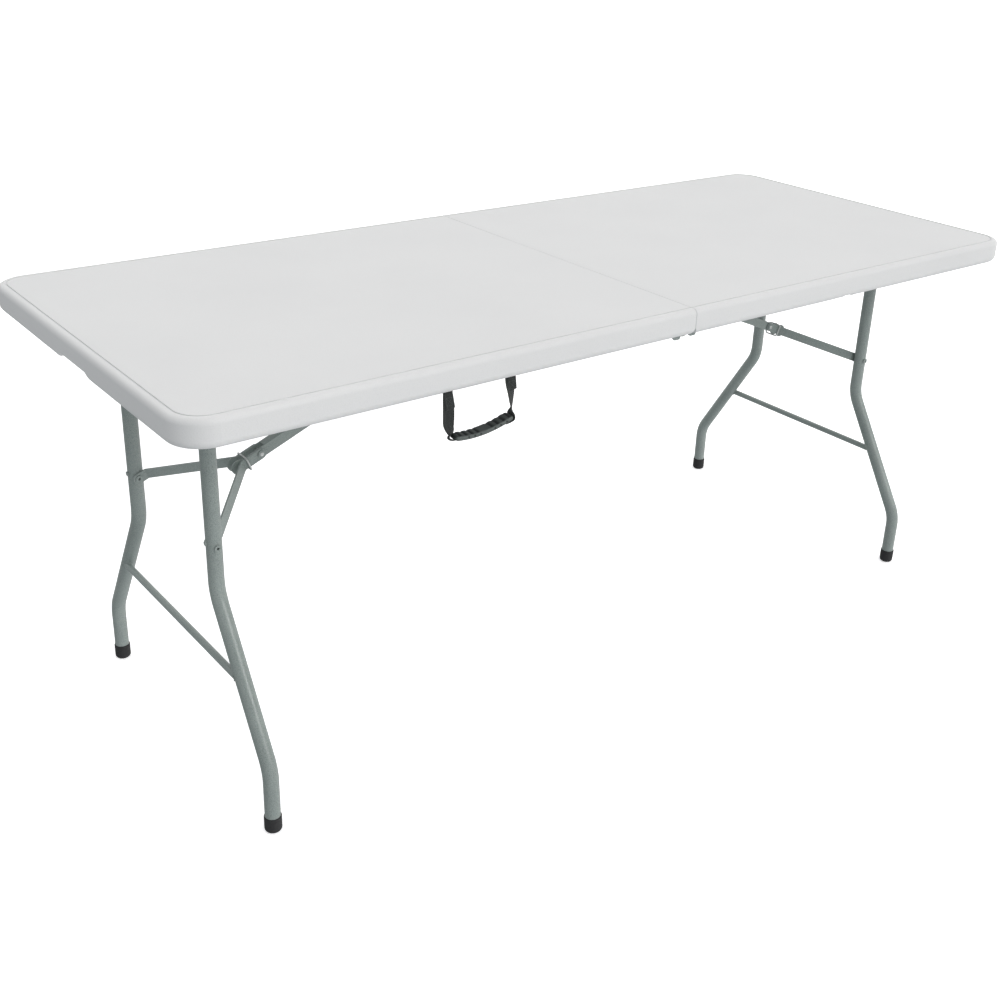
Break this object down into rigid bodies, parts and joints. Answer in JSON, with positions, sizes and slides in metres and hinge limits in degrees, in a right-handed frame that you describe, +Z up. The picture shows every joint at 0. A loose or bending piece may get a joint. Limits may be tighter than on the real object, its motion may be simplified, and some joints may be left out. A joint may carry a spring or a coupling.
{
  "type": "folding table",
  "caption": "Bi-fold carrying table with a moulded plastic top hinged at the middle, folding wishbone steel legs, knee braces with lock rings and a webbing handle.",
  "frame": {"origin": "on the floor, under the middle of the open table (the seam between the two halves)", "axes": "+X along the length, to the right half; +Y across the table, away from the side with the carry handle; +Z up"},
  "size_m": [1.8, 0.74, 0.74],
  "materials": {
    "moulded_top": "off-white blow-moulded polyethylene with a fine pebble grain",
    "coated_steel": "grey-green powder coat with a fine speckle",
    "zinc": "bright zinc plate",
    "foot_rubber": "matt black rubber",
    "webbing": "black woven webbing",
    "grip_plastic": "dark grey moulded grip"
  },
  "bodies": {
    "left_half": {"top_left": "moulded_top", "rails_left": "coated_steel", "hinge_leaves_left": "coated_steel", "pivot_saddles_left": "coated_steel", "arm_bracket_left": "coated_steel", "arm_root_pin_left": "zinc", "screws_left": "zinc", "strap_anchors": "webbing"},
    "right_half": {"top_right": "moulded_top", "rails_right": "coated_steel", "hinge_leaves_right": "coated_steel", "pivot_saddles_right": "coated_steel", "arm_bracket_right": "coated_steel", "arm_root_pin_right": "zinc", "screws_right": "zinc"},
    "hinge_links": {"hinge_links": "coated_steel", "hinge_pins": "zinc"},
    "leg_frame_left": {"leg_near_left": "coated_steel", "leg_far_left": "coated_steel", "pivot_tube_left": "coated_steel", "crossbar_left": "coated_steel", "foot_caps_left": "foot_rubber", "brace_bolts_left": "coated_steel"},
    "arm_left": {"arm_left": "coated_steel", "knee_rivet_left": "zinc"},
    "v_brace_left": {"v_bar_near_left": "coated_steel", "v_bar_far_left": "coated_steel", "v_rivets_left": "coated_steel"},
    "lock_ring_left": {"lock_ring_left": "zinc"},
    "leg_frame_right": {"leg_near_right": "coated_steel", "leg_far_right": "coated_steel", "pivot_tube_right": "coated_steel", "crossbar_right": "coated_steel", "foot_caps_right": "foot_rubber", "brace_bolts_right": "coated_steel"},
    "arm_right": {"arm_right": "coated_steel", "knee_rivet_right": "zinc"},
    "v_brace_right": {"v_bar_near_right": "coated_steel", "v_bar_far_right": "coated_steel", "v_rivets_right": "coated_steel"},
    "lock_ring_right": {"lock_ring_right": "zinc"},
    "handle": {"handle_straps": "webbing", "handle_grip": "grip_plastic"}
  },
  "joints": [
    {"name": "fold_left_leaf", "type": "hinge", "parent": "left_half", "child": "hinge_links", "pos_m": [-0.006, 0, 0.70125], "axis": [0, 1, 0], "range_deg": [0, 90]},
    {"name": "fold_right_leaf", "type": "hinge", "parent": "hinge_links", "child": "right_half", "pos_m": [0.006, 0, 0.70125], "axis": [0, 1, 0], "range_deg": [0, 90]},
    {"name": "leg_fold_left", "type": "hinge", "parent": "left_half", "child": "leg_frame_left", "pos_m": [-0.768, 0, 0.71], "axis": [0, -1, 0], "range_deg": [0, 90]},
    {"name": "arm_swing_left", "type": "hinge", "parent": "left_half", "child": "arm_left", "pos_m": [-0.073, 0, 0.719], "axis": [0, -1, 0], "range_deg": [-22.16, 0]},
    {"name": "knee_left", "type": "hinge", "parent": "arm_left", "child": "v_brace_left", "pos_m": [-0.61534, 0, 0.49816], "axis": [0, -1, 0], "range_deg": [0, 176.87]},
    {"name": "ring_slide_left", "type": "slide", "parent": "arm_left", "child": "lock_ring_left", "axis": [0.9262, 0, 0.3771], "range_m": [0, 0.3]},
    {"name": "leg_fold_right", "type": "hinge", "parent": "right_half", "child": "leg_frame_right", "pos_m": [0.768, 0, 0.71], "axis": [0, 1, 0], "range_deg": [0, 90]},
    {"name": "arm_swing_right", "type": "hinge", "parent": "right_half", "child": "arm_right", "pos_m": [0.073, 0, 0.719], "axis": [0, 1, 0], "range_deg": [-22.16, 0]},
    {"name": "knee_right", "type": "hinge", "parent": "arm_right", "child": "v_brace_right", "pos_m": [0.61534, 0, 0.49816], "axis": [0, 1, 0], "range_deg": [0, 176.87]},
    {"name": "ring_slide_right", "type": "slide", "parent": "arm_right", "child": "lock_ring_right", "axis": [-0.9262, 0, 0.3771], "range_m": [0, 0.3]},
    {"name": "handle_swing", "type": "hinge", "parent": "left_half", "child": "handle", "pos_m": [-0.432, -0.358, 0.69625], "axis": [-1, 0, 0], "range_deg": [0, 90]}
  ],
  "couplings": [
    {"joint": "arm_swing_left", "follows": "leg_fold_left", "ratio": -0.24618},
    {"joint": "knee_left", "follows": "leg_fold_left", "ratio": 1.9652},
    {"joint": "ring_slide_left", "follows": "leg_fold_left", "m_per_rad": 0.19099},
    {"joint": "arm_swing_right", "follows": "leg_fold_right", "ratio": -0.24618},
    {"joint": "knee_right", "follows": "leg_fold_right", "ratio": 1.9652},
    {"joint": "ring_slide_right", "follows": "leg_fold_right", "m_per_rad": 0.19099}
  ]
}
